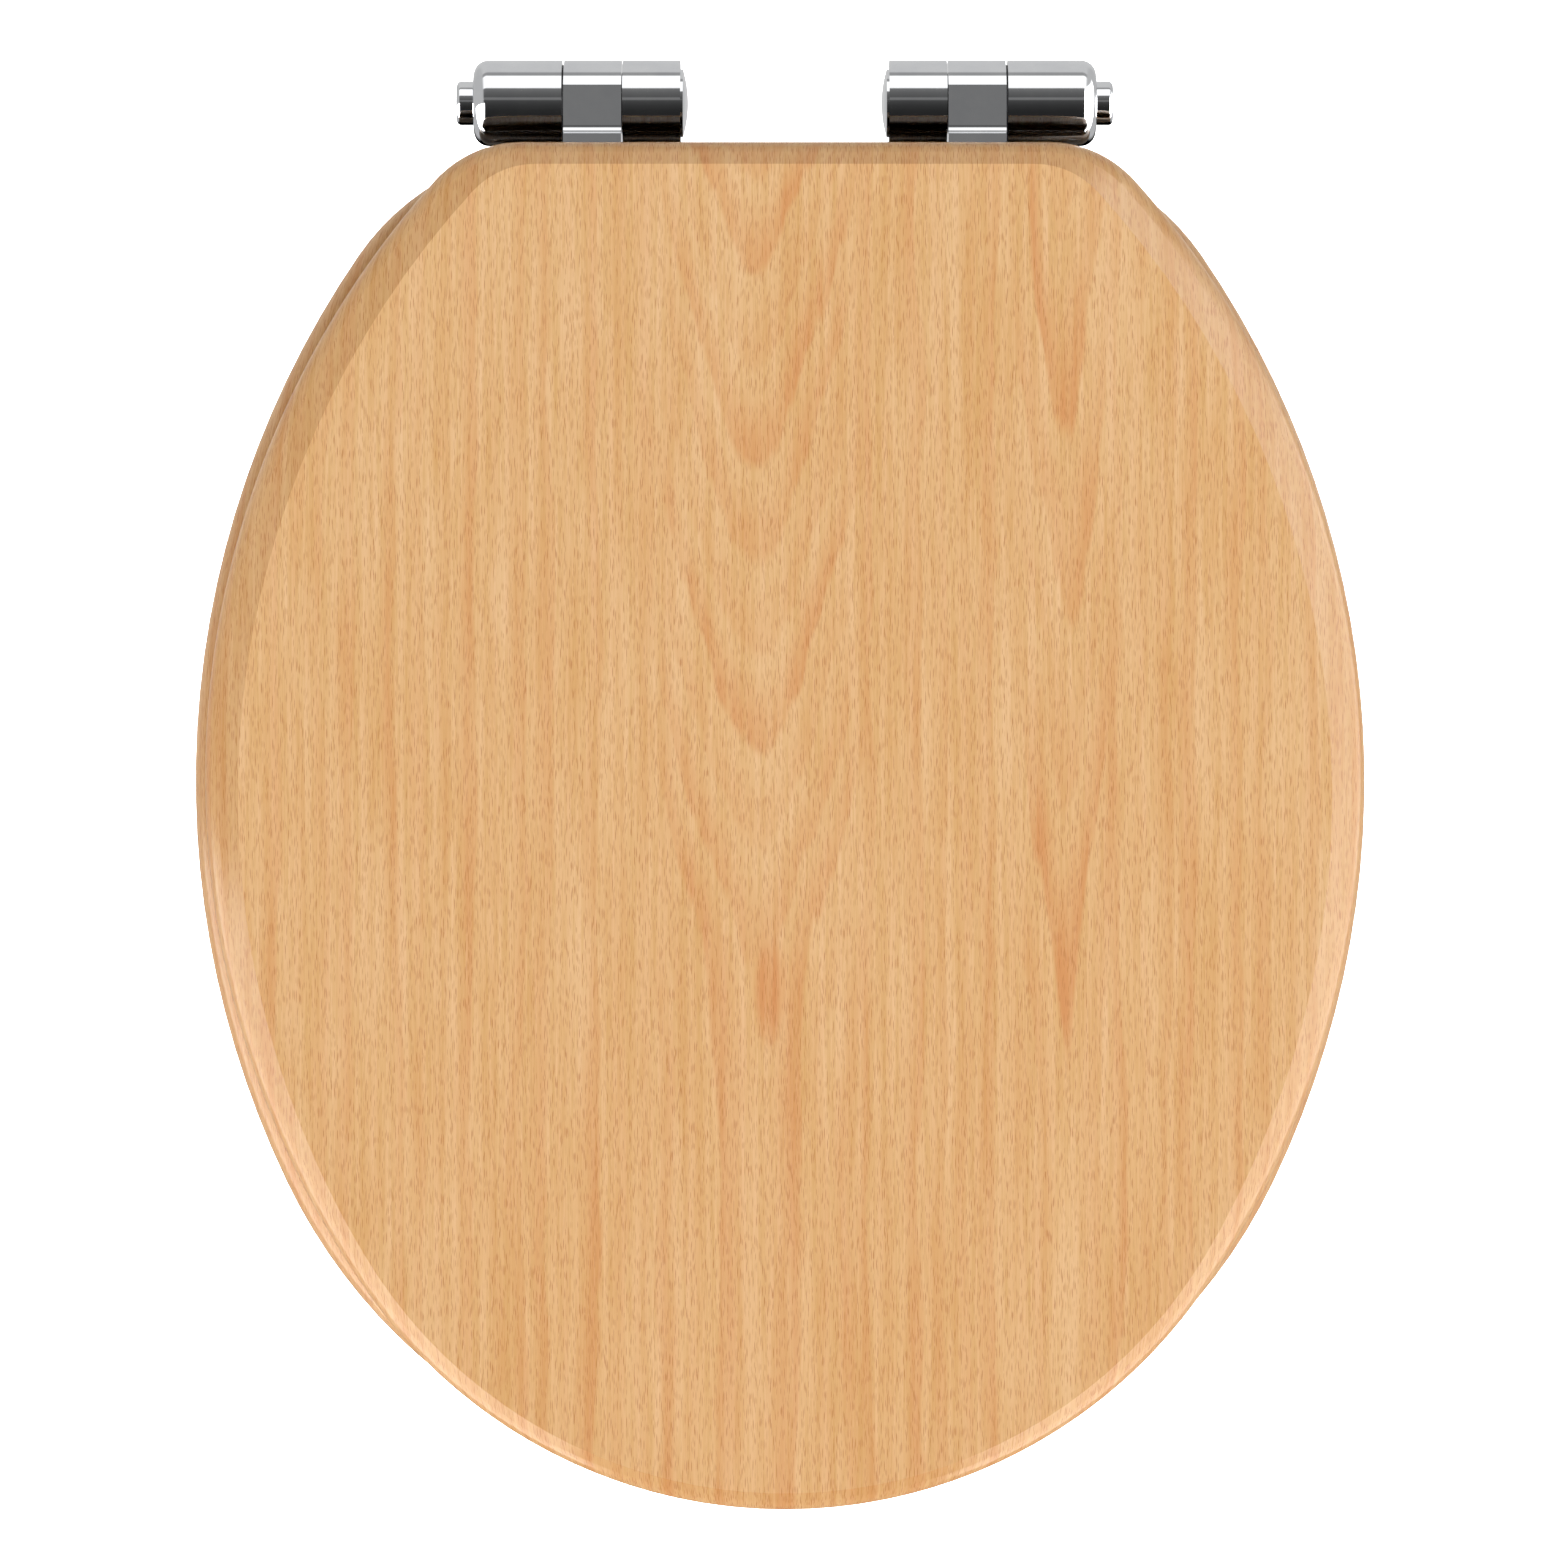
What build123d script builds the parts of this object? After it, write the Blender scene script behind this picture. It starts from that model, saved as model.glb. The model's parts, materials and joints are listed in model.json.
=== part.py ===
from build123d import *
import os
from math import asin, atan2, degrees, radians, tan

# Toilet seat: a bevelled wooden lid over a wooden ring, on two quick-release soft-close hinges.
# Millimetres. +X is to the right seen from the front, +Y is the rear, +Z is up.
# The origin is midway between the two fixing holes, on the top of the pan.

# Fits
press_fit = 0.05
running_fit = 0.1
loose_fit = 0.3

# Fixing to the pan
hole_spacing = 155.0
gasket_thickness = 1.5
gasket_margin = 0.5
plate_thickness = 3.0
plate_hole_radius = 12.5
plate_post_radius = 10.0
fixing_screw_diameter = 8.0
fixing_neck_diameter = 8.6
fixing_thread_diameter = 7.4
fixing_head_diameter = 13.0
fixing_screw_end = 6.0
pan_thickness = 25.0
pan_washer_diameter = 26.0
pan_washer_thickness = 4.0
washer_spigot_diameter = 13.0
washer_spigot_height = 3.0
nut_diameter = 16.0
nut_height = 12.0
wing_span = 40.0
wing_thickness = 5.0
wing_height = 8.0

# Hinge line and barrel, with lengths along the hinge from its inner end outwards
axis_y = 15.5
foot_height = 0.5
barrel_diameter = 27.4
barrel_end_round = 4.8
hinge_inner_x = 33.4
seat_knuckle_length = 18.5
knuckle_gap = 0.3
lid_knuckle_length = 18.5
washer_thickness = 0.6
washer_margin = 1.5
base_length = 28.5

# End cap and retaining ring
cap_height = 2.4
cap_rim = 0.8
cap_margin = 2.9
cap_recess_margin = 3.8
cap_recess_depth = 4.0
cap_spigot_length = 2.1
cap_spigot_wall = 1.5
ring_thickness = 1.0
ring_diameter = 15.0
ring_groove_depth = 0.8
shaft_tip = 1.2

# Shaft, dampers and bushes
shaft_diameter = 8.0
shaft_flat_depth = 1.0
flange_margin = 3.0
flange_thickness = 4.0
knuckle_wall = 4.0
damper_wall = 1.8
damper_end_wall = 2.0
damper_cap_thickness = 1.5
damper_key_width = 3.0
damper_key_height = 1.2
rotor_hub_wall = 1.4
rotor_vane_thickness = 2.5

# Release button and the post that it catches
button_diameter = 14.0
button_stand = 5.4
button_travel = 3.2
button_edge_round = 1.4
collar_margin = 1.0
collar_thickness = 1.6
spring_length = 5.8
spring_wire = 0.6
spring_turns = 3
spring_margin = 1.2
post_diameter = 9.8
post_neck_diameter = 6.6
post_tail_diameter = 7.0
post_head_height = 7.0
post_head_chamfer = 1.0
catch_depth = 4.0

# Arms that carry the lid and the seat ring
arm_flat_depth = 0.8
arm_cove_length = 2.9
arm_neck = 2.5
leaf_thickness = 3.0
leaf_length = 38.0
leaf_end_round = 6.0
panel_screw_diameter = 4.0
panel_screw_head_diameter = 7.6
panel_screw_length = 12.0
panel_screw_tip = 3.0
panel_screw_setback = 12.0
panel_screw_pitch = 17.0
panel_screw_rows = 2

# Screw heads
screw_head_angle = 90.0
recess_width = 0.9
recess_depth = 1.4
recess_share_of_head = 0.55

# Gap between the barrels and the rear edges of lid and ring
rear_clearance = 0.9

# Lid and its bevel
lid_width = 368.2
lid_length = 434.1
lid_widest = 202.0
lid_side_radius = 283.4
lid_corner_radius = 37.0
lid_thickness = 14.0
bevel_side = 11.0
bevel_rear = 7.6
bevel_front = 5.8
bevel_drop = 3.0
flat_corner_radius = 27.0
flat_shift = 5.6
lid_edge_round = 6.0
lid_under_round = 2.5

# Seat ring and its opening
seat_width = 375.2
seat_length = 431.0
seat_widest = 202.7
seat_side_radius = 297.6
seat_corner_radius = 79.0
seat_thickness = 18.0
seat_side_offset = -1.5
seat_top_round = 8.0
seat_under_round = 3.0
opening_width = 224.0
opening_length = 272.0
opening_setback = 92.0
opening_widest = 140.0
opening_side_radius = 190.0
opening_corner_radius = 62.0

# Buffers
seat_buffer_height = 8.5
lid_buffer_height = 7.0
buffer_diameter = 22.0
buffer_edge_round = 1.5
buffer_stem_diameter = 5.0
buffer_stem_length = 6.0
front_buffer_spread = 234.0
front_buffer_setback = 330.0
rear_buffer_spread = 240.0
rear_buffer_setback = 100.0

# Heights
plate_top = gasket_thickness + plate_thickness
barrel_radius = barrel_diameter / 2
axis_z = plate_top + foot_height + barrel_radius
seat_bottom = seat_buffer_height
seat_top = seat_bottom + seat_thickness
lid_bottom = seat_top + lid_buffer_height
lid_top = lid_bottom + lid_thickness

# Places along the hinge
seat_knuckle_end = hinge_inner_x + seat_knuckle_length
lid_knuckle_x = seat_knuckle_end + knuckle_gap
lid_knuckle_end = lid_knuckle_x + lid_knuckle_length
base_x = lid_knuckle_end + washer_thickness
base_end = base_x + base_length
flange_end = base_x + flange_thickness
button_inner_x = flange_end + spring_length
collar_end = button_inner_x + collar_thickness
pocket_radius = post_diameter / 2 + loose_fit
post_x = collar_end + pocket_radius
seat_damper_x = hinge_inner_x + cap_recess_depth
seat_damper_length = seat_knuckle_end - seat_damper_x
hole_x = hole_spacing / 2

# Radii about the hinge line
damper_radius = barrel_radius - knuckle_wall
shaft_radius = shaft_diameter / 2
button_radius = button_diameter / 2
collar_radius = button_radius + collar_margin
flange_radius = barrel_radius - flange_margin
cap_spigot_radius = barrel_radius - cap_recess_margin - press_fit

# Places of the panels and what fastens them
panel_rear_y = axis_y - barrel_radius - rear_clearance
leaf_front_y = panel_rear_y - leaf_length
panel_screw_ys = [
    panel_rear_y - panel_screw_setback - row * panel_screw_pitch for row in range(panel_screw_rows)
]
lid_arm_x = lid_knuckle_x + lid_knuckle_length / 2
seat_arm_x = hinge_inner_x + seat_knuckle_length / 2
front_buffer_y = panel_rear_y - front_buffer_setback
rear_buffer_y = panel_rear_y - rear_buffer_setback
hinge_line = Axis((0, axis_y, axis_z), (1, 0, 0))


def across_hinge(x):
    """Plane square to the hinge line at x, with local x to the rear and local y up."""
    return Plane(origin=(x, axis_y, axis_z), x_dir=(0, 1, 0), z_dir=(1, 0, 0))


def along_hinge():
    """Plane through the hinge line, with local x along it and local y up."""
    return Plane(origin=(0, axis_y, axis_z), x_dir=(1, 0, 0), z_dir=(0, -1, 0))


def upright(x, y):
    """Upright plane at a place on the pan, with local x to the right and local y up."""
    return Plane(origin=(x, y, 0), x_dir=(1, 0, 0), z_dir=(0, -1, 0))


def head_depth(head_radius, screw_radius):
    """Depth of a countersunk head."""
    return (head_radius - screw_radius) / tan(radians(screw_head_angle / 2))


def panel_outline(width, length, widest, side_radius, corner_radius, rear_y):
    """Face of a panel: straight rear edge, then corner, side and front arcs that run into each other."""
    half_width = width / 2
    front_reach = length - widest
    front_radius = (side_radius**2 - (side_radius - half_width) ** 2 - front_reach**2) / (
        2 * (side_radius - front_reach)
    )
    side_centre = Vector(half_width - side_radius, rear_y - widest)
    front_centre = Vector(0, rear_y - length + front_radius)
    corner_turn = degrees(asin((widest - corner_radius) / (side_radius - corner_radius)))
    corner_centre = side_centre + Vector(side_radius - corner_radius, 0).rotate(Axis.Z, corner_turn)
    to_front = front_centre - side_centre
    front_turn = degrees(atan2(-to_front.Y, to_front.X))
    with BuildSketch() as outline:
        with BuildLine():
            CenterArc(corner_centre, corner_radius, corner_turn, 90 - corner_turn)
            CenterArc(side_centre, side_radius, -front_turn, corner_turn + front_turn)
            CenterArc(front_centre, front_radius, -90, 90 - front_turn)
            mirror(about=Plane.YZ)
            Line((-corner_centre.X, rear_y), (corner_centre.X, rear_y))
        make_face()
    return outline.sketch


def drill_up(points, bottom, diameter, depth):
    """Blind holes upwards from a height, in the part at hand."""
    with BuildSketch(Plane.XY.offset(bottom)) as holes:
        with Locations(*points):
            Circle(diameter / 2 + press_fit)
    extrude(holes.sketch, amount=depth + press_fit, mode=Mode.SUBTRACT)


def both_sides(x, ys):
    """Points at x and at minus x, for each y."""
    return [(side * x, y) for side in (-1, 1) for y in ys]


# Lid
lid_outline = panel_outline(
    lid_width, lid_length, lid_widest, lid_side_radius, lid_corner_radius, panel_rear_y
)
flat_outline = panel_outline(
    lid_width - 2 * bevel_side,
    lid_length - bevel_rear - bevel_front,
    lid_widest - bevel_rear + flat_shift,
    lid_side_radius,
    flat_corner_radius,
    panel_rear_y - bevel_rear,
)
with BuildPart() as lid:
    with BuildSketch(Plane.XY.offset(lid_bottom)):
        add(lid_outline)
    extrude(amount=lid_thickness - bevel_drop)
    with BuildSketch(Plane.XY.offset(lid_top - bevel_drop)):
        add(lid_outline)
    with BuildSketch(Plane.XY.offset(lid_top)):
        add(flat_outline)
    loft(ruled=True)
    bevel_foot = lid_top - bevel_drop
    bevel_edges = lid.edges().filter_by_position(Axis.Z, bevel_foot - press_fit, bevel_foot + press_fit)
    fillet(bevel_edges, lid_edge_round)
    fillet(lid.faces().sort_by(Axis.Z)[0].edges(), lid_under_round)
    drill_up(
        both_sides(lid_arm_x, panel_screw_ys),
        lid_bottom,
        panel_screw_diameter,
        panel_screw_length - leaf_thickness,
    )
    drill_up(
        both_sides(front_buffer_spread / 2, [front_buffer_y]),
        lid_bottom,
        buffer_stem_diameter,
        buffer_stem_length,
    )

# Seat ring
seat_buffer_points = {
    "front": both_sides(front_buffer_spread / 2, [front_buffer_y]),
    "rear": both_sides(rear_buffer_spread / 2, [rear_buffer_y]),
}
seat_outline = panel_outline(
    seat_width, seat_length, seat_widest, seat_side_radius, seat_corner_radius, panel_rear_y
)
opening_outline = panel_outline(
    opening_width,
    opening_length,
    opening_widest,
    opening_side_radius,
    opening_corner_radius,
    panel_rear_y - opening_setback,
)
with BuildPart() as seat_ring:
    with BuildSketch(Plane.XY.offset(seat_bottom).move(Location((seat_side_offset, 0, 0)))):
        add(seat_outline)
        add(opening_outline, mode=Mode.SUBTRACT)
    extrude(amount=seat_thickness)
    fillet(seat_ring.faces().sort_by(Axis.Z)[-1].edges(), seat_top_round)
    fillet(seat_ring.faces().sort_by(Axis.Z)[0].edges(), seat_under_round)
    drill_up(
        both_sides(seat_arm_x, panel_screw_ys),
        seat_bottom,
        panel_screw_diameter,
        panel_screw_length - leaf_thickness,
    )
    drill_up(
        [(x + seat_side_offset, y) for row in seat_buffer_points.values() for x, y in row],
        seat_bottom,
        buffer_stem_diameter,
        buffer_stem_length,
    )


def buffer(x, y, bottom, height):
    """Rubber buffer with a stem that plugs into the panel above it."""
    with BuildPart() as made:
        with BuildSketch(Plane.XY.offset(bottom)):
            with Locations((x, y)):
                Circle(buffer_diameter / 2)
        extrude(amount=height)
        fillet(made.faces().sort_by(Axis.Z)[0].edges(), buffer_edge_round)
        with BuildSketch(Plane.XY.offset(bottom + height)):
            with Locations((x, y)):
                Circle(buffer_stem_diameter / 2)
        extrude(amount=buffer_stem_length)
    return made


# Lid arm: middle knuckle with a flat top that steps up to a leaf under the lid
arm_flat_height = barrel_radius - arm_flat_depth
lid_leaf_top = lid_bottom - axis_z
lid_leaf_bottom = lid_leaf_top - leaf_thickness
leaf_reach = axis_y - leaf_front_y
cove_front = barrel_radius - arm_neck
cove_rear = cove_front - arm_cove_length


def key_section(clearance):
    """Round section of a damper or bush with the key that stops it turning in its knuckle."""
    Circle(damper_radius + clearance)
    with Locations((0, -damper_radius)):
        Rectangle(damper_key_width + 2 * clearance, 2 * (damper_key_height + clearance))


def arm_screw_holes(x, bottom):
    """Countersunk screw holes through a leaf, from its underside."""
    for y in panel_screw_ys:
        with Locations(Plane(origin=(x, y, bottom), z_dir=(0, 0, -1))):
            CounterSinkHole(
                panel_screw_diameter / 2 + running_fit,
                panel_screw_head_diameter / 2 + running_fit,
                depth=leaf_thickness,
                counter_sink_angle=screw_head_angle,
            )


def round_leaf_end(arm):
    """Round the two front corners of an arm's leaf."""
    fillet(arm.edges().filter_by(Axis.Z).group_by(Axis.Y)[0], leaf_end_round)


with BuildPart() as lid_arm:
    with BuildSketch(across_hinge(lid_knuckle_x)):
        Circle(barrel_radius)
        with Locations((0, barrel_radius + arm_flat_height)):
            Rectangle(barrel_diameter, barrel_diameter, mode=Mode.SUBTRACT)
        with BuildLine():
            Polyline((0, 0), (0, arm_flat_height), (-cove_rear, arm_flat_height))
            TangentArc(
                (-cove_rear, arm_flat_height), (-cove_front, lid_leaf_top), tangent=(-1, 0)
            )
            Polyline(
                (-cove_front, lid_leaf_top),
                (-leaf_reach, lid_leaf_top),
                (-leaf_reach, lid_leaf_bottom),
                (-barrel_radius, lid_leaf_bottom),
                (-barrel_radius, 0),
                (0, 0),
            )
        make_face()
    extrude(amount=lid_knuckle_length)
    round_leaf_end(lid_arm)
    with BuildSketch(across_hinge(lid_knuckle_x)):
        key_section(press_fit)
    extrude(amount=lid_knuckle_length, mode=Mode.SUBTRACT)
    arm_screw_holes(lid_arm_x, lid_bottom - leaf_thickness)

# Seat arm: inner knuckle with a leaf under the ring
seat_leaf_top = seat_bottom - axis_z
seat_leaf_bottom = seat_leaf_top - leaf_thickness
with BuildPart() as seat_arm:
    with BuildSketch(across_hinge(hinge_inner_x)):
        Circle(barrel_radius)
        with BuildLine():
            Polyline(
                (0, 0),
                (-barrel_radius, 0),
                (-barrel_radius, seat_leaf_top),
                (-leaf_reach, seat_leaf_top),
                (-leaf_reach, seat_leaf_bottom),
                (0, seat_leaf_bottom),
                (0, 0),
            )
        make_face()
    extrude(amount=seat_knuckle_length)
    round_leaf_end(seat_arm)
    with BuildSketch(across_hinge(seat_damper_x)):
        key_section(press_fit)
    extrude(amount=seat_damper_length, mode=Mode.SUBTRACT)
    with BuildSketch(across_hinge(hinge_inner_x)):
        Circle(cap_spigot_radius + press_fit)
    extrude(amount=cap_recess_depth, mode=Mode.SUBTRACT)
    arm_screw_holes(seat_arm_x, seat_bottom - leaf_thickness)

# Hinge base: outer barrel on a foot, bored for the button and for the post that comes up from below
with BuildPart() as hinge_base:
    with BuildSketch(across_hinge(base_x)):
        Circle(barrel_radius)
    extrude(amount=base_length)
    fillet(hinge_base.faces().sort_by(Axis.X)[-1].edges(), barrel_end_round)
    with BuildSketch(Plane.XY.offset(plate_top)):
        with Locations((post_x, axis_y)):
            Circle(plate_post_radius)
    extrude(amount=axis_z - plate_top)
    with BuildSketch(across_hinge(base_x)):
        Circle(button_radius + running_fit)
    extrude(amount=base_length, mode=Mode.SUBTRACT)
    with BuildSketch(across_hinge(base_x)):
        Circle(collar_radius + running_fit)
    extrude(amount=collar_end - base_x, mode=Mode.SUBTRACT)
    with BuildSketch(across_hinge(base_x)):
        Circle(flange_radius + press_fit)
    extrude(amount=flange_thickness, mode=Mode.SUBTRACT)
    with BuildSketch(Plane.XY.offset(plate_top)):
        with Locations((post_x, axis_y)):
            Circle(post_diameter / 2 + running_fit)
    extrude(amount=axis_z - plate_top, mode=Mode.SUBTRACT)

# Release button: plunger with a pocket for the post's head and a keyhole in its floor
pocket_floor = axis_z - button_radius + catch_depth
with BuildPart() as release_button:
    with BuildSketch(across_hinge(button_inner_x)):
        Circle(button_radius)
    extrude(amount=base_end + button_stand - button_inner_x)
    fillet(release_button.faces().sort_by(Axis.X)[-1].edges(), button_edge_round)
    with BuildSketch(across_hinge(button_inner_x)):
        Circle(collar_radius)
    extrude(amount=collar_thickness)
    with BuildSketch(Plane.XY.offset(pocket_floor)):
        with Locations((post_x + button_travel / 2, axis_y)):
            SlotCenterToCenter(button_travel, 2 * pocket_radius)
    extrude(amount=button_diameter, mode=Mode.SUBTRACT)
    with BuildSketch(Plane.XY.offset(axis_z - button_radius)):
        with Locations((post_x + button_travel / 2, axis_y)):
            SlotCenterToCenter(button_travel, post_neck_diameter + 2 * loose_fit)
        with Locations((post_x + button_travel, axis_y)):
            Circle(pocket_radius)
    extrude(amount=catch_depth, mode=Mode.SUBTRACT)

# Locking post: tail riveted into the plate, body in the foot, neck and head in the button
post_head_bottom = pocket_floor + loose_fit
post_neck_bottom = axis_z - button_radius - loose_fit
post_head_top = post_head_bottom + post_head_height
with BuildPart() as locking_post:
    with BuildSketch(upright(post_x, axis_y)):
        with BuildLine():
            Polyline(
                (0, gasket_thickness),
                (post_tail_diameter / 2, gasket_thickness),
                (post_tail_diameter / 2, plate_top),
                (post_diameter / 2, plate_top),
                (post_diameter / 2, post_neck_bottom),
                (post_neck_diameter / 2, post_neck_bottom),
                (post_neck_diameter / 2, post_head_bottom),
                (post_diameter / 2, post_head_bottom),
                (post_diameter / 2, post_head_top - post_head_chamfer),
                (post_diameter / 2 - post_head_chamfer, post_head_top),
                (0, post_head_top),
                close=True,
            )
        make_face()
    revolve(axis=Axis((post_x, axis_y, 0), (0, 0, 1)))

# Spring that pushes the button out
spring_radius = button_radius - spring_margin
with BuildPart() as button_spring:
    with BuildLine() as coil:
        Helix(
            (spring_length - spring_wire) / spring_turns,
            spring_length - spring_wire,
            spring_radius,
            center=(flange_end + spring_wire / 2, axis_y, axis_z),
            direction=(1, 0, 0),
        )
    with BuildSketch(Plane(origin=coil.line @ 0, z_dir=coil.line % 0)):
        Circle(spring_wire / 2)
    sweep()

# Hinge shaft: flange pressed into the base, flatted pin through both knuckles, groove near its end
ring_x = seat_damper_x - press_fit - ring_thickness
shaft_end = ring_x - shaft_tip
groove_radius = shaft_radius - ring_groove_depth
with BuildPart() as hinge_shaft:
    with BuildSketch(across_hinge(base_x)):
        Circle(flange_radius)
    extrude(amount=flange_thickness)
    with BuildSketch(across_hinge(shaft_end)):
        Circle(shaft_radius)
        with Locations((0, shaft_diameter - shaft_flat_depth)):
            Rectangle(shaft_diameter, shaft_diameter, mode=Mode.SUBTRACT)
    extrude(amount=base_x - shaft_end)
    with BuildSketch(across_hinge(ring_x - press_fit)):
        Circle(shaft_radius)
        Circle(groove_radius, mode=Mode.SUBTRACT)
    extrude(amount=ring_thickness + 2 * press_fit, mode=Mode.SUBTRACT)

# Retaining ring, open on one side so that it slides into the groove
with BuildPart() as retaining_ring:
    with BuildSketch(across_hinge(ring_x)):
        Circle(ring_diameter / 2)
        Circle(groove_radius + press_fit, mode=Mode.SUBTRACT)
        with Locations((0, -ring_diameter / 4)):
            Rectangle(2 * groove_radius, ring_diameter / 2, mode=Mode.SUBTRACT)
    extrude(amount=ring_thickness)

# Washer between the base and the lid arm
with BuildPart() as base_washer:
    with BuildSketch(across_hinge(lid_knuckle_end)):
        Circle(barrel_radius - washer_margin)
        Circle(shaft_radius + running_fit, mode=Mode.SUBTRACT)
    extrude(amount=washer_thickness)

# End cap: shallow dome with a hollow spigot
cap_radius = barrel_radius - cap_margin
cap_dome = cap_height - cap_rim
dome_radius = (cap_radius**2 + cap_dome**2) / (2 * cap_dome)
with BuildPart() as end_cap:
    with BuildSketch(along_hinge()):
        with BuildLine():
            Polyline(
                (hinge_inner_x - cap_height, 0),
                (hinge_inner_x, 0),
                (hinge_inner_x, cap_radius),
                (hinge_inner_x - cap_rim, cap_radius),
            )
            RadiusArc(
                (hinge_inner_x - cap_rim, cap_radius),
                (hinge_inner_x - cap_height, 0),
                -dome_radius,
            )
        make_face()
    revolve(axis=hinge_line)
    with BuildSketch(across_hinge(hinge_inner_x)):
        Circle(cap_spigot_radius)
        Circle(cap_spigot_radius - cap_spigot_wall, mode=Mode.SUBTRACT)
    extrude(amount=cap_spigot_length)


def bush(x, length):
    """Plain keyed bush that fills a knuckle and turns on the shaft."""
    with BuildPart() as made:
        with BuildSketch(across_hinge(x)):
            key_section(0)
            Circle(shaft_radius + running_fit, mode=Mode.SUBTRACT)
        extrude(amount=length)
    return made


chamber_radius = damper_radius - damper_wall


def damper(x, length):
    """Rotary damper in a knuckle: keyed housing, cap, and a rotor that the flatted shaft holds still."""
    chamber_x = x + damper_end_wall
    cap_x = x + length - damper_cap_thickness
    with BuildPart() as housing:
        with BuildSketch(across_hinge(x)):
            key_section(0)
            Circle(shaft_radius + running_fit, mode=Mode.SUBTRACT)
        extrude(amount=length)
        with BuildSketch(across_hinge(chamber_x)):
            Circle(chamber_radius)
        extrude(amount=length, mode=Mode.SUBTRACT)
    with BuildPart() as cap:
        with BuildSketch(across_hinge(cap_x)):
            Circle(chamber_radius - press_fit)
            Circle(shaft_radius + running_fit, mode=Mode.SUBTRACT)
        extrude(amount=damper_cap_thickness)
    with BuildPart() as rotor:
        with BuildSketch(across_hinge(chamber_x + running_fit)):
            Circle(shaft_radius + rotor_hub_wall)
            Rectangle(2 * (chamber_radius - loose_fit), rotor_vane_thickness)
        extrude(amount=cap_x - chamber_x - 2 * running_fit)
        with BuildSketch(across_hinge(chamber_x)):
            Circle(shaft_radius + press_fit)
            with Locations((0, shaft_diameter - shaft_flat_depth + press_fit)):
                Rectangle(shaft_diameter, shaft_diameter, mode=Mode.SUBTRACT)
        extrude(amount=length, mode=Mode.SUBTRACT)
    return housing, cap, rotor


# Fixing plate and gasket: an eccentric plate from the hole in the pan to the post
def plate_plan(margin):
    """Face of a convex plate around the fixing hole and the post."""
    with BuildSketch() as plan:
        with Locations((hole_x, 0)):
            Circle(plate_hole_radius - margin)
        with Locations((post_x, axis_y)):
            Circle(plate_post_radius - margin)
        make_hull(plan.edges())
    return plan.sketch


fixing_neck_radius = fixing_neck_diameter / 2
fixing_screw_radius = fixing_screw_diameter / 2
fixing_thread_radius = fixing_thread_diameter / 2
fixing_head_radius = fixing_head_diameter / 2
with BuildPart() as fixing_plate:
    with BuildSketch(Plane.XY.offset(gasket_thickness)):
        add(plate_plan(0))
        with Locations((post_x, axis_y)):
            Circle(post_tail_diameter / 2 + press_fit, mode=Mode.SUBTRACT)
    extrude(amount=plate_thickness)
    with Locations((hole_x, 0, plate_top)):
        CounterSinkHole(
            fixing_neck_radius + running_fit,
            fixing_head_radius + running_fit,
            depth=plate_thickness,
            counter_sink_angle=screw_head_angle,
        )

with BuildPart() as plate_gasket:
    with BuildSketch():
        add(plate_plan(gasket_margin))
        with Locations((hole_x, 0)):
            Circle(fixing_neck_radius + running_fit, mode=Mode.SUBTRACT)
    extrude(amount=gasket_thickness)


def cross_recess(x, y, face, head_diameter, upwards):
    """Cross-shaped driver recess in a screw's head, cut up or down from the head's face."""
    with BuildSketch(Plane.XY.offset(face)) as cross:
        with Locations((x, y)):
            Rectangle(head_diameter * recess_share_of_head, recess_width)
            Rectangle(recess_width, head_diameter * recess_share_of_head)
    extrude(cross.sketch, amount=recess_depth if upwards else -recess_depth, mode=Mode.SUBTRACT)


nut_top = -pan_thickness - pan_washer_thickness
nut_bottom = nut_top - nut_height
spigot_top = washer_spigot_height - pan_thickness
with BuildPart() as fixing_screw:
    with BuildSketch(upright(hole_x, 0)):
        with BuildLine():
            Polyline(
                (0, plate_top),
                (fixing_head_radius, plate_top),
                (fixing_neck_radius, plate_top - head_depth(fixing_head_radius, fixing_neck_radius)),
                (fixing_neck_radius, 0),
                (fixing_screw_radius, 0),
                (fixing_screw_radius, spigot_top),
                (fixing_thread_radius, spigot_top),
                (fixing_thread_radius, nut_bottom - fixing_screw_end),
                (0, nut_bottom - fixing_screw_end),
                close=True,
            )
        make_face()
    revolve(axis=Axis((hole_x, 0, 0), (0, 0, 1)))
    cross_recess(hole_x, 0, plate_top, fixing_head_diameter, upwards=False)

# Washer under the pan, with a spigot that centres it in the pan's hole
with BuildPart() as pan_washer:
    with BuildSketch(upright(hole_x, 0)):
        with BuildLine():
            Polyline(
                (fixing_thread_radius + running_fit, spigot_top),
                (washer_spigot_diameter / 2, spigot_top),
                (washer_spigot_diameter / 2, -pan_thickness),
                (pan_washer_diameter / 2, -pan_thickness),
                (pan_washer_diameter / 2, nut_top),
                (fixing_thread_radius + running_fit, nut_top),
                close=True,
            )
        make_face()
    revolve(axis=Axis((hole_x, 0, 0), (0, 0, 1)))

with BuildPart() as wing_nut:
    with BuildSketch(Plane.XY.offset(nut_bottom)):
        with Locations((hole_x, 0)):
            Circle(nut_diameter / 2)
    extrude(amount=nut_height)
    with BuildSketch(Plane.XY.offset(nut_bottom)):
        with Locations((hole_x, 0)):
            SlotOverall(wing_span, wing_thickness)
    extrude(amount=wing_height)
    with BuildSketch(Plane.XY.offset(nut_bottom)):
        with Locations((hole_x, 0)):
            Circle(fixing_thread_radius + press_fit)
    extrude(amount=nut_height, mode=Mode.SUBTRACT)


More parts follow.
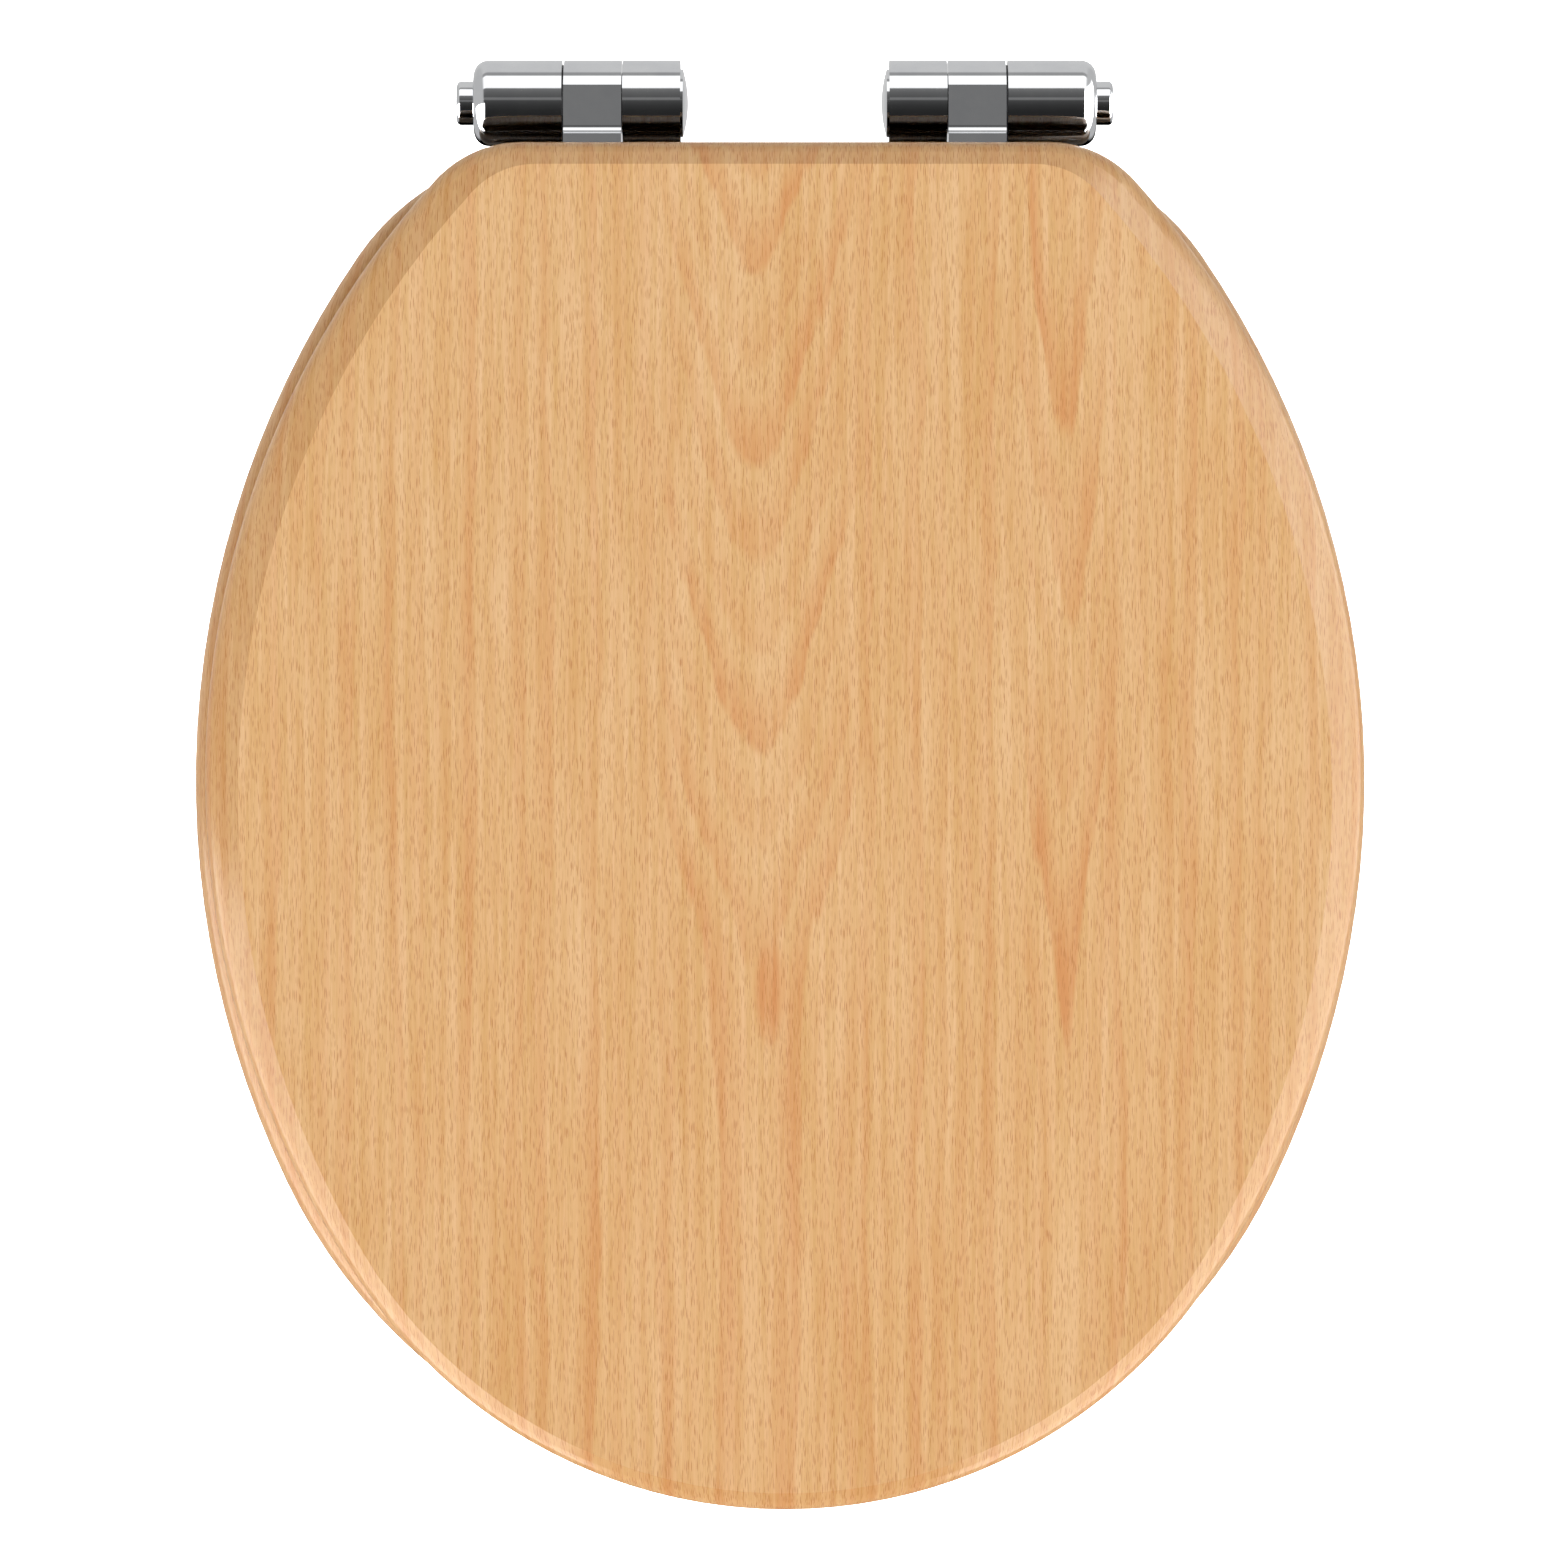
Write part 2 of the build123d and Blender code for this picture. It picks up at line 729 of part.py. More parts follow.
def panel_screws(x, head_face):
    """Countersunk wood screws that go up through a leaf into its panel."""
    screw_radius = panel_screw_diameter / 2
    head_radius = panel_screw_head_diameter / 2
    tip = head_face + panel_screw_length
    with BuildPart() as made:
        for y in panel_screw_ys:
            with BuildSketch(upright(x, y)):
                with BuildLine():
                    Polyline(
                        (0, head_face),
                        (head_radius, head_face),
                        (screw_radius, head_face + head_depth(head_radius, screw_radius)),
                        (screw_radius, tip - panel_screw_tip),
                        (0, tip),
                        close=True,
                    )
                make_face()
            revolve(axis=Axis((x, y, 0), (0, 0, 1)))
            cross_recess(x, y, head_face, panel_screw_head_diameter, upwards=True)
    return made


# One hinge with its fixing, built for the right side
hinge_pieces = {
    "hinge_base": hinge_base,
    "release_button": release_button,
    "button_spring": button_spring,
    "hinge_shaft": hinge_shaft,
    "retaining_ring": retaining_ring,
    "base_washer": base_washer,
    "end_cap": end_cap,
    "lid_arm": lid_arm,
    "seat_arm": seat_arm,
    "lid_arm_screws": panel_screws(lid_arm_x, lid_bottom - leaf_thickness),
    "seat_arm_screws": panel_screws(seat_arm_x, seat_bottom - leaf_thickness),
    "locking_post": locking_post,
    "fixing_plate": fixing_plate,
    "plate_gasket": plate_gasket,
    "fixing_screw": fixing_screw,
    "pan_washer": pan_washer,
    "wing_nut": wing_nut,
}


def mirrored(piece):
    """The same piece on the left side."""
    with BuildPart() as made:
        mirror(piece.part, about=Plane.YZ)
    return made


pieces = {"lid": lid, "seat_ring": seat_ring}
for name, piece in hinge_pieces.items():
    pieces["right_" + name] = piece
    pieces["left_" + name] = mirrored(piece)

# The right hinge damps the lid and the left hinge damps the ring
lid_housing, lid_cap, lid_rotor = damper(lid_knuckle_x, lid_knuckle_length)
pieces["lid_damper_housing"] = lid_housing
pieces["lid_damper_cap"] = lid_cap
pieces["lid_damper_rotor"] = lid_rotor
pieces["lid_bush"] = mirrored(bush(lid_knuckle_x, lid_knuckle_length))
for name, piece in zip(("housing", "cap", "rotor"), damper(seat_damper_x, seat_damper_length)):
    pieces["seat_damper_" + name] = mirrored(piece)
pieces["seat_bush"] = bush(seat_damper_x, seat_damper_length)

for side, (x, y) in zip(("left", "right"), both_sides(front_buffer_spread / 2, [front_buffer_y])):
    pieces[side + "_lid_buffer"] = buffer(x, y, seat_top, lid_buffer_height)
for row, points in seat_buffer_points.items():
    for side, (x, y) in zip(("left", "right"), points):
        pieces[f"{row}_{side}_seat_buffer"] = buffer(x + seat_side_offset, y, 0, seat_buffer_height)

os.makedirs("parts", exist_ok=True)
for name, piece in pieces.items():
    piece.part.label = name
    export_step(piece.part, f"parts/{name}.step")
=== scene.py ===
import json
from math import tau

import bmesh
import bpy
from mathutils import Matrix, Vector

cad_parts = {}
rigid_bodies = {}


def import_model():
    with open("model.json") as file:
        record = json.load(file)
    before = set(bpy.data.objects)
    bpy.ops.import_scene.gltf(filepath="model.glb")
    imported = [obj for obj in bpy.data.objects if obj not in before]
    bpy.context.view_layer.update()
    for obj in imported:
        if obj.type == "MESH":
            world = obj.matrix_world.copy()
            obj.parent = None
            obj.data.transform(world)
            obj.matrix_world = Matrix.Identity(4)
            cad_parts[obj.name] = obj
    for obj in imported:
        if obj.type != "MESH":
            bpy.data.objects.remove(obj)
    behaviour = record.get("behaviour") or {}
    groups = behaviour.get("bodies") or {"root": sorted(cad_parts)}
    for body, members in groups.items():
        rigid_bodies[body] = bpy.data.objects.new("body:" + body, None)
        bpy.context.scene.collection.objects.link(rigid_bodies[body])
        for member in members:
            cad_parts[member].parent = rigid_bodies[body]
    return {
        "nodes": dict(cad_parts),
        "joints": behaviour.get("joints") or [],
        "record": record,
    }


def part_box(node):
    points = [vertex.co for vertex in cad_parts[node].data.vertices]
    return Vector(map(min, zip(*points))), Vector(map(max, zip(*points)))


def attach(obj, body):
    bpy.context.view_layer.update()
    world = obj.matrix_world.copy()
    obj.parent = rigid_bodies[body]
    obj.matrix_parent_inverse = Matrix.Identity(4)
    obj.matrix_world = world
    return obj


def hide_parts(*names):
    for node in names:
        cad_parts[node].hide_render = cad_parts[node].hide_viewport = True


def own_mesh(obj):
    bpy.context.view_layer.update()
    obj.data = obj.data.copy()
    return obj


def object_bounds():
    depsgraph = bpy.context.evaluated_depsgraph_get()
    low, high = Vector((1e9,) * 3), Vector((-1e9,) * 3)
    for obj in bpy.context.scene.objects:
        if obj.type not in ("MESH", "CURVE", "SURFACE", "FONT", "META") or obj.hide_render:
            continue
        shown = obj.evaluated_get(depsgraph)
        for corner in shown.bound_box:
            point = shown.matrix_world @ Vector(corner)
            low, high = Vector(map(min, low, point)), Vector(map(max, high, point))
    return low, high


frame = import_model()
cad_low, cad_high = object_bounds()
scene = bpy.context.scene
MM = 0.001

# Places that the scene is set out from
lid_low, lid_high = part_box("lid")
barrel_low, barrel_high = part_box("right_hinge_base")
hinge_y = (barrel_low.y + barrel_high.y) / 2

# The floor lies lower than the lid reaches when it is folded right back over the raised ring
FLOOR_DROP = 60 * MM
floor_z = cad_low.z - FLOOR_DROP

# Camera: straight above, with the rear of the seat at the top of the picture
IMAGE_WIDTH_AT_LID = 493.2 * MM
CAMERA_HEIGHT = 2.0
CAMERA_X = -1.7 * MM
CAMERA_FROM_REAR = 202.4 * MM
CAMERA_REACH = 50.0
SENSOR = 36.0

camera_data = bpy.data.cameras.new("camera")
camera_data.sensor_width = SENSOR
camera_data.lens = SENSOR * CAMERA_HEIGHT / IMAGE_WIDTH_AT_LID
camera_data.clip_end = CAMERA_REACH
camera = bpy.data.objects.new("camera", camera_data)
camera.location = (CAMERA_X, lid_high.y - CAMERA_FROM_REAR, lid_high.z + CAMERA_HEIGHT)
scene.collection.objects.link(camera)
scene.camera = camera


class Graph:
    """The nodes of a material or a world, added by short calls that return the socket to use next."""

    def __init__(self, owner, shader="Principled BSDF"):
        owner.use_nodes = True
        self.owner = owner
        self.tree = owner.node_tree
        self.shader = self.tree.nodes[shader]

    def add(self, kind, inputs=None, **settings):
        node = self.tree.nodes.new("ShaderNode" + kind)
        for key, value in settings.items():
            setattr(node, key, value)
        for key, value in (inputs or {}).items():
            self.feed(node.inputs[key], value)
        return node

    def feed(self, socket, value):
        if isinstance(value, bpy.types.NodeSocket):
            self.tree.links.new(value, socket)
        else:
            socket.default_value = value

    def set(self, **values):
        for key, value in values.items():
            self.feed(self.shader.inputs[key.replace("_", " ")], value)

    def math(self, operation, *values):
        return self.add("Math", dict(enumerate(values)), operation=operation).outputs[0]

    def split(self, vector):
        return self.add("SeparateXYZ", {0: vector}).outputs

    def join(self, x, y, z):
        return self.add("CombineXYZ", {0: x, 1: y, 2: z}).outputs[0]

    def noise(self, vector, detail, roughness):
        inputs = {"Vector": vector, "Scale": 1.0, "Detail": detail, "Roughness": roughness}
        return self.add("TexNoise", inputs).outputs["Fac"]

    def remap(self, value, low, high, to_low=0.0, to_high=1.0):
        ends = {0: value, 1: low, 2: high, 3: to_low, 4: to_high}
        return self.add("MapRange", ends, interpolation_type="SMOOTHSTEP").outputs[0]

    def fade(self, value, low, high):
        """One up to low, nothing from high on."""
        return self.remap(value, low, high, 1.0, 0.0)

    def ramp(self, value, stops):
        node = self.add("ValToRGB", {0: value})
        elements = node.color_ramp.elements
        while len(elements) < len(stops):
            elements.new(1.0)
        for element, (place, tint) in zip(elements, stops):
            element.position = place
            element.color = tint
        return node.outputs[0]

    def mix_numbers(self, factor, first, second):
        """A mix node has its numbers on sockets 2 and 3."""
        return self.add("Mix", {0: factor, 2: first, 3: second}).outputs[0]

    def mix_colours(self, factor, first, second):
        """A mix node has its colours on sockets 6 and 7."""
        return self.add("Mix", {0: factor, 6: first, 7: second}, data_type="RGBA").outputs[2]

    def bump(self, height, distance, strength=1.0):
        found = self.add("Bump", {"Height": height, "Distance": distance, "Strength": strength})
        self.set(Normal=found.outputs[0])

    def shine(self, strength):
        """Only light, in place of the shader."""
        emitter = self.add("Emission", {"Strength": strength})
        self.feed(self.tree.nodes["Material Output"].inputs["Surface"], emitter.outputs[0])


def linear(red, green, blue):
    """Colour from linear values."""
    return (red, green, blue, 1.0)


def grey(tone):
    """Grey from one linear value."""
    return linear(tone, tone, tone)


SCREEN_WHITE = 255
SCREEN_OFFSET = 0.055
SCREEN_POWER = 2.4


def colour(*screen):
    """Linear colour from the red, green and blue that a screen shows, 0 to 255."""
    shares = [value / SCREEN_WHITE for value in screen]
    return linear(*(((share + SCREEN_OFFSET) / (1 + SCREEN_OFFSET)) ** SCREEN_POWER for share in shares))


# Wood: a beech foil wrapped over the panels, measured in millimetres across and along the grain.
# Each figure is a row of nested arches: its centre across, the tip that the arches end on, how far it
# reaches to each side, how round an arch's end is, how far an arch moves across per step along,
# the number of its strongest arch and the share of the red that it takes.
FIGURES = (
    dict(centre=-6.0, tip=-262.0, reach=38.0, roundness=12.0, lift=0.26, strongest=7, share=0.92),
    dict(centre=92.0, tip=-282.0, reach=17.0, roundness=3.0, lift=0.13, strongest=4, share=1.0),
)
FIGURE_CORE = 0.55  # share of the reach within which a figure is full
TIP_ROUNDING = 60.0

# Growth rings: their pitch, the share of it over which a ring darkens, their strength and how it changes
RING_PITCH = 7.86
RING_EDGE = 0.82
RING_MEAN = 0.65
RING_SWING = 0.35
RING_CHANGE = 2.4
PLAIN_SHARE = 0.6  # share of the red that rings outside the figures take
SWAY = 6.0
RIPPLE = 6.0

# Noises: a cell's size across and along, detail and roughness
SWAY_NOISE = (26, 130, 2, 0.5)
RIPPLE_NOISE = (4, 45, 3, 0.5)
FIBRE_NOISE = (0.5, 22, 3, 0.6)
STREAK_NOISE = (2.8, 110, 3, 0.6)
CLOUD_NOISE = (22, 150, 2, 0.5)
WISP_NOISE = (2.6, 75, 3, 0.6)

# Ground: how much each noise counts, and the range that runs from pale to deep
FIBRE_SHARE = 0.36
STREAK_SHARE = 0.42
CLOUD_SHARE = 0.22
TONE_RANGE = (0.34, 0.66)

# How clouds, wisps and streaks thin the red: range of the noise, and the share left at its ends
CLOUD_THINNING = (0.3, 0.7, 0.55, 1.0)
WISP_THINNING = (0.34, 0.62, 0.5, 1.0)
KNOT_THINNING = (0.3, 0.6, 0.5, 1.0)

# Knot below the main figure: place across and along, half sizes, and where it has faded out
KNOT = (-4.4, -268.0)
KNOT_HALF_WIDTH = 5.5
KNOT_HALF_LENGTH = 19.0
KNOT_END = 1.4

# Pores: size of a cell across and along, and how dark the darkest is. A cell whose random number is under
# the level has no pore.
PORES = ((0.5, 7.5, 0.8), (0.42, 4.8, 0.65))
PORE_EDGE = (0.14, 0.3)
PORE_LEVEL = 0.2

# Painted shade: share of the colour that is left on bevels, edges and every face that tilts away from
# straight up, and the slope it starts at
SLOPE_SHADE = linear(0.855, 0.81, 0.76)
SHADE_SLOPE = (0.97, 0.99)

# Painted light and shade: the colour runs from paler at the rear to fuller at the front, evening out the top
# light, which stands in front
REAR_PAINTED_LIGHT = linear(1.02, 1.04, 1.065)
FRONT_PAINTED_SHADE = linear(0.985, 0.965, 0.94)

# Lacquer and relief
LACQUER = dict(Coat_Weight=0.5, Coat_Roughness=0.1, Specular_IOR_Level=0.2)
WOOD_ROUGHNESS = (0.42, 0.54)
FIBRE_RANGE = (0.2, 0.8)
PORE_HEIGHT = -0.5
FIBRE_HEIGHT = 0.3
WOOD_RELIEF = 0.003 * MM
WOOD_RELIEF_STRENGTH = 0.5


def wood_material(name, node, pale, middle, deep, red, pore, shift):
    """Pale ground, soft nested arches, fine fibres and short dark pores, under a satin lacquer."""
    low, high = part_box(node)
    g = Graph(bpy.data.materials.new(name))
    place = g.add("TexCoord")
    x, y, z = g.split(place.outputs["Object"])
    normal_x, normal_y, normal_z = g.split(place.outputs["Normal"])
    depth = g.math("SUBTRACT", high.z, z)
    across = g.math("MULTIPLY", g.math("MULTIPLY_ADD", normal_x, depth, x), 1 / MM)
    across = g.math("ADD", across, shift)
    along = g.math("MULTIPLY", g.math("MULTIPLY_ADD", normal_y, depth, y), 1 / MM)

    def stretched(width, length):
        return g.join(g.math("DIVIDE", across, width), g.math("DIVIDE", along, length), shift)

    def grain_noise(width, length, detail, roughness):
        return g.noise(stretched(width, length), detail, roughness)

    def growth_rings(distance, strongest):
        """Rings that darken slowly and end sharply, each with its own strength."""
        count = g.math("DIVIDE", distance, RING_PITCH)
        part = g.math("FRACT", count)
        from_strongest = g.math("SUBTRACT", g.math("FLOOR", count), strongest)
        turn = g.math("MULTIPLY", from_strongest, RING_CHANGE)
        own = g.math("MULTIPLY_ADD", g.math("COSINE", turn), RING_SWING, RING_MEAN)
        rise = g.remap(part, 0.0, RING_EDGE)
        fall = g.fade(part, RING_EDGE, 1.0)
        return g.math("MULTIPLY", g.math("MULTIPLY", rise, fall), own)

    sway = grain_noise(*SWAY_NOISE)
    ripple = grain_noise(*RIPPLE_NOISE)
    swayed = g.math("MULTIPLY_ADD", sway, 2 * SWAY, g.math("SUBTRACT", across, SWAY))
    swayed = g.math("MULTIPLY_ADD", ripple, RIPPLE, swayed)
    rings = g.math("MULTIPLY", growth_rings(swayed, 0), PLAIN_SHARE)
    for figure in FIGURES:
        off = g.math("SUBTRACT", swayed, figure["centre"])
        aside = g.math("SQRT", g.math("MULTIPLY_ADD", off, off, figure["roundness"] ** 2))
        lifted = g.math("SMOOTH_MAX", along, figure["tip"], TIP_ROUNDING)
        arch = g.math("MULTIPLY_ADD", lifted, -figure["lift"], aside)
        near = g.fade(g.math("ABSOLUTE", off), FIGURE_CORE * figure["reach"], figure["reach"])
        arches = g.math("MULTIPLY", growth_rings(arch, figure["strongest"]), figure["share"])
        rings = g.mix_numbers(near, rings, arches)

    fibres = grain_noise(*FIBRE_NOISE)
    streaks = grain_noise(*STREAK_NOISE)
    clouds = grain_noise(*CLOUD_NOISE)
    tone = g.math("MULTIPLY_ADD", fibres, FIBRE_SHARE, g.math("MULTIPLY", streaks, STREAK_SHARE))
    tone = g.math("MULTIPLY_ADD", clouds, CLOUD_SHARE, tone)
    ground = g.ramp(g.remap(tone, *TONE_RANGE), [(0.0, pale), (0.5, middle), (1.0, deep)])

    wisps = grain_noise(*WISP_NOISE)
    red_share = g.math("MULTIPLY", rings, g.remap(clouds, *CLOUD_THINNING))
    red_share = g.math("MULTIPLY", red_share, g.remap(wisps, *WISP_THINNING))
    knot_x = g.math("DIVIDE", g.math("SUBTRACT", across, KNOT[0] + shift), KNOT_HALF_WIDTH)
    knot_y = g.math("DIVIDE", g.math("SUBTRACT", along, KNOT[1]), KNOT_HALF_LENGTH)
    knot_far = g.math("MULTIPLY_ADD", knot_x, knot_x, g.math("MULTIPLY", knot_y, knot_y))
    knot = g.math("MULTIPLY", g.fade(knot_far, 0.0, KNOT_END), g.remap(streaks, *KNOT_THINNING))
    ground = g.mix_colours(g.math("MAXIMUM", red_share, knot), ground, red)

    pores = None
    for width, length, darkest in PORES:
        cells = g.add(
            "TexVoronoi",
            {"Vector": stretched(width, length), "Scale": 1.0, "Randomness": 1.0},
            voronoi_dimensions="2D",
        )
        dash = g.fade(cells.outputs["Distance"], *PORE_EDGE)
        strength = g.remap(g.split(cells.outputs["Color"])[0], PORE_LEVEL, 1.0, 0.0, darkest)
        dark = g.math("MULTIPLY", dash, strength)
        pores = dark if pores is None else g.math("MAXIMUM", pores, dark)

    # painted shade, darker wherever the surface tilts away from straight up
    slope_shade = g.mix_colours(g.fade(normal_z, *SHADE_SLOPE), grey(1.0), SLOPE_SHADE)
    # painted light towards the rear and painted shade towards the front
    painted_falloff = g.mix_colours(g.remap(y, low.y, high.y), FRONT_PAINTED_SHADE, REAR_PAINTED_LIGHT)
    surface = g.mix_colours(pores, ground, pore)
    for tint in (slope_shade, painted_falloff):
        surface = g.add("VectorMath", {0: surface, 1: tint}, operation="MULTIPLY").outputs[0]
    g.set(Base_Color=surface)
    g.set(Roughness=g.remap(fibres, *FIBRE_RANGE, *WOOD_ROUGHNESS))
    g.set(**LACQUER)
    height = g.math("MULTIPLY_ADD", pores, PORE_HEIGHT, g.math("MULTIPLY", fibres, FIBRE_HEIGHT))
    g.bump(height, WOOD_RELIEF, WOOD_RELIEF_STRENGTH)
    return g.owner


# Other finishes: detail and roughness of their one noise, its ends in the colour, and its range in the gloss
GRAIN_DETAIL = 4
GRAIN_ROUGHNESS = 0.6
GRAIN_ENDS = (0.3, 0.7)
GRAIN_RANGE = (0.25, 0.75)


def grained_material(name, first, second, grain, roughness, stretch=(1, 1, 1), metallic=0.0, relief=0.01):
    """A finish whose colour, gloss and relief vary with one noise. Grain and relief are in millimetres."""
    g = Graph(bpy.data.materials.new(name))
    place = g.split(g.add("TexCoord").outputs["Object"])
    scaled = [g.math("MULTIPLY", axis, 1 / (grain * MM * size)) for axis, size in zip(place, stretch)]
    grains = g.noise(g.join(*scaled), GRAIN_DETAIL, GRAIN_ROUGHNESS)
    g.set(Base_Color=g.ramp(grains, list(zip(GRAIN_ENDS, (first, second)))))
    g.set(Roughness=g.remap(grains, *GRAIN_RANGE, *roughness))
    g.set(Metallic=metallic)
    g.bump(grains, relief * MM)
    return g.owner


WOODS = {
    "lid_wood": dict(
        node="lid",
        pale=colour(238, 196, 145),
        middle=colour(230, 184, 127),
        deep=colour(220, 168, 104),
        red=colour(217, 147, 87),
        pore=colour(190, 115, 60),
        shift=0.0,
    ),
    "ring_wood": dict(
        node="seat_ring",
        pale=colour(234, 192, 142),
        middle=colour(226, 180, 124),
        deep=colour(216, 164, 102),
        red=colour(213, 144, 85),
        pore=colour(187, 113, 59),
        shift=37.0,
    ),
}
FINISHES = {
    "chrome": dict(
        first=linear(0.76, 0.77, 0.79),
        second=linear(0.82, 0.83, 0.84),
        grain=9.0,
        roughness=(0.03, 0.07),
        metallic=1.0,
        relief=0.002,
    ),
    "steel": dict(
        first=linear(0.5, 0.5, 0.51),
        second=linear(0.66, 0.66, 0.67),
        grain=1.5,
        roughness=(0.22, 0.36),
        stretch=(6, 1, 1),
        metallic=1.0,
    ),
    "rubber": dict(
        first=linear(0.02, 0.02, 0.022),
        second=linear(0.035, 0.035, 0.037),
        grain=0.5,
        roughness=(0.6, 0.8),
    ),
    "buffer_rubber": dict(
        first=linear(0.55, 0.53, 0.495),
        second=linear(0.63, 0.61, 0.575),
        grain=0.6,
        roughness=(0.5, 0.68),
    ),
    "dark_nylon": dict(
        first=linear(0.015, 0.015, 0.017),
        second=linear(0.03, 0.03, 0.032),
        grain=0.7,
        roughness=(0.4, 0.55),
    ),
    "white_nylon": dict(
        first=linear(0.48, 0.48, 0.47),
        second=linear(0.56, 0.56, 0.55),
        grain=0.9,
        roughness=(0.35, 0.5),
    ),
}
materials = {name: wood_material(name, **wood) for name, wood in WOODS.items()}
materials.update((name, grained_material(name, **finish)) for name, finish in FINISHES.items())
for subpart in frame["record"]["subparts"]:
    node = frame["nodes"][subpart["node"]]
    for slot in node.material_slots:
        slot.material = materials[subpart["material_slot"]]

# Each button spring flattens as its button goes in, so a piece that can do so stands in for its node
for joint in frame["joints"]:
    for deforming in joint.get("deforming_nodes", ()):
        spring_node = deforming["node"]
        spring = bpy.data.objects.new(spring_node + "_coil", frame["nodes"][spring_node].data.copy())
        scene.collection.objects.link(spring)
        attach(spring, joint["parent"])
        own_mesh(spring)
        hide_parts(spring_node)


def linked(name, build):
    """New mesh object in the scene, from a function that fills a bmesh."""
    mesh = bpy.data.meshes.new(name)
    shape = bmesh.new()
    build(shape)
    shape.to_mesh(mesh)
    shape.free()
    made = bpy.data.objects.new(name, mesh)
    scene.collection.objects.link(made)
    return made


def plate(name, side):
    """Flat square about the origin."""

    def build(shape):
        bmesh.ops.create_grid(shape, x_segments=1, y_segments=1, size=side / 2)

    return linked(name, build)


def hide_from(made, *rays):
    for ray in rays:
        setattr(made, "visible_" + ray, False)


# Floor
FLOOR_SIDE = 12.0
FLOOR_GLOW = 0.9
FLOOR_FINISH = dict(first=grey(0.88), second=grey(0.92), grain=40.0, roughness=(0.7, 0.9))

floor = plate("floor", FLOOR_SIDE)
floor.location = (0, 0, floor_z)
floor.data.materials.append(grained_material("floor", **FLOOR_FINISH))
floor_shader = floor.data.materials[0].node_tree.nodes["Principled BSDF"]
floor_shader.inputs["Emission Color"].default_value = grey(1.0)
floor_shader.inputs["Emission Strength"].default_value = FLOOR_GLOW
hide_from(floor, "diffuse", "glossy")

# Bounced light from the floor. It doesn't reach what is seen in the chrome, so the barrels keep a dark foot.
BOUNCE_SIDE = 5.0
BOUNCE_LIFT = 0.5 * MM
BOUNCE_STRENGTH = 2.2
NO_BOUNCE = 0.5  # a ray that has bounced fewer times than this hasn't bounced

bounce = plate("bounce", BOUNCE_SIDE)
bounce.location = (0, 0, floor_z + BOUNCE_LIFT)
bounce_glow = Graph(bpy.data.materials.new("bounce"))
bounce_path = bounce_glow.add("LightPath").outputs
not_in_chrome = bounce_glow.math("LESS_THAN", bounce_path["Glossy Depth"], NO_BOUNCE)
bounce_glow.shine(bounce_glow.math("MULTIPLY", not_in_chrome, BOUNCE_STRENGTH))
bounce.data.materials.append(bounce_glow.owner)
hide_from(bounce, "camera", "glossy", "transmission", "volume_scatter", "shadow")

# Studio tent that only reflections see. Its tone follows the lean from upright in degrees, with the rear
# positive: a bright panel behind, dark above with a grey strip, black in front. Its two ends have a tone of
# their own.
TENT_RADIUS = 8.0
TENT_SEGMENTS = 48
TENT_TONES = (
    (-180, 0.0),
    (-47, 0.0),
    (-44, 0.02),
    (-26, 0.025),
    (-12, 0.04),
    (-2, 0.06),
    (2, 0.08),
    (4, 0.2),
    (8.5, 0.2),
    (11, 0.1),
    (24, 0.14),
    (34, 0.2),
    (37, 1.35),
    (72, 1.35),
    (75, 0.35),
    (84, 0.35),
    (88, 0.65),
    (180, 0.65),
)
UPRIGHT = 0.5
FULL_TURN = 360
END_TONE = 0.55
END_EDGE = (0.35, 0.6)

# Two side panels show in the lacquer along the edges. Their edges are parts of a direction of length one.
RIGHT_PANEL_TONE = 6.2
RIGHT_PANEL_EDGE = (0.26, 0.36)
RIGHT_PANEL_REAR = (0.3, 0.7)
LEFT_PANEL_TONE = 7.0
LEFT_PANEL_EDGE = (-0.4, -0.3)
LEFT_PANEL_REAR = (-0.15, -0.05)
PANEL_FOOT = (-0.25, -0.1)

tent = linked(
    "tent",
    lambda shape: bmesh.ops.create_uvsphere(
        shape, u_segments=TENT_SEGMENTS, v_segments=TENT_SEGMENTS, radius=TENT_RADIUS
    ),
)
tent.location = (0, hinge_y, barrel_high.z)
glow = Graph(bpy.data.materials.new("tent"))
toward = glow.add("VectorMath", {0: glow.add("TexCoord").outputs["Object"]}, operation="NORMALIZE")
right, rear, up = glow.split(toward.outputs[0])
lean = glow.math("MULTIPLY_ADD", glow.math("ARCTAN2", rear, up), 1 / tau, UPRIGHT)
shade = glow.ramp(lean, [(UPRIGHT + angle / FULL_TURN, grey(tone)) for angle, tone in TENT_TONES])
endward = glow.remap(glow.math("ABSOLUTE", right), *END_EDGE)
shade = glow.mix_numbers(endward, shade, END_TONE)
on_right = glow.math("MULTIPLY", glow.remap(right, *RIGHT_PANEL_EDGE), glow.fade(rear, *RIGHT_PANEL_REAR))
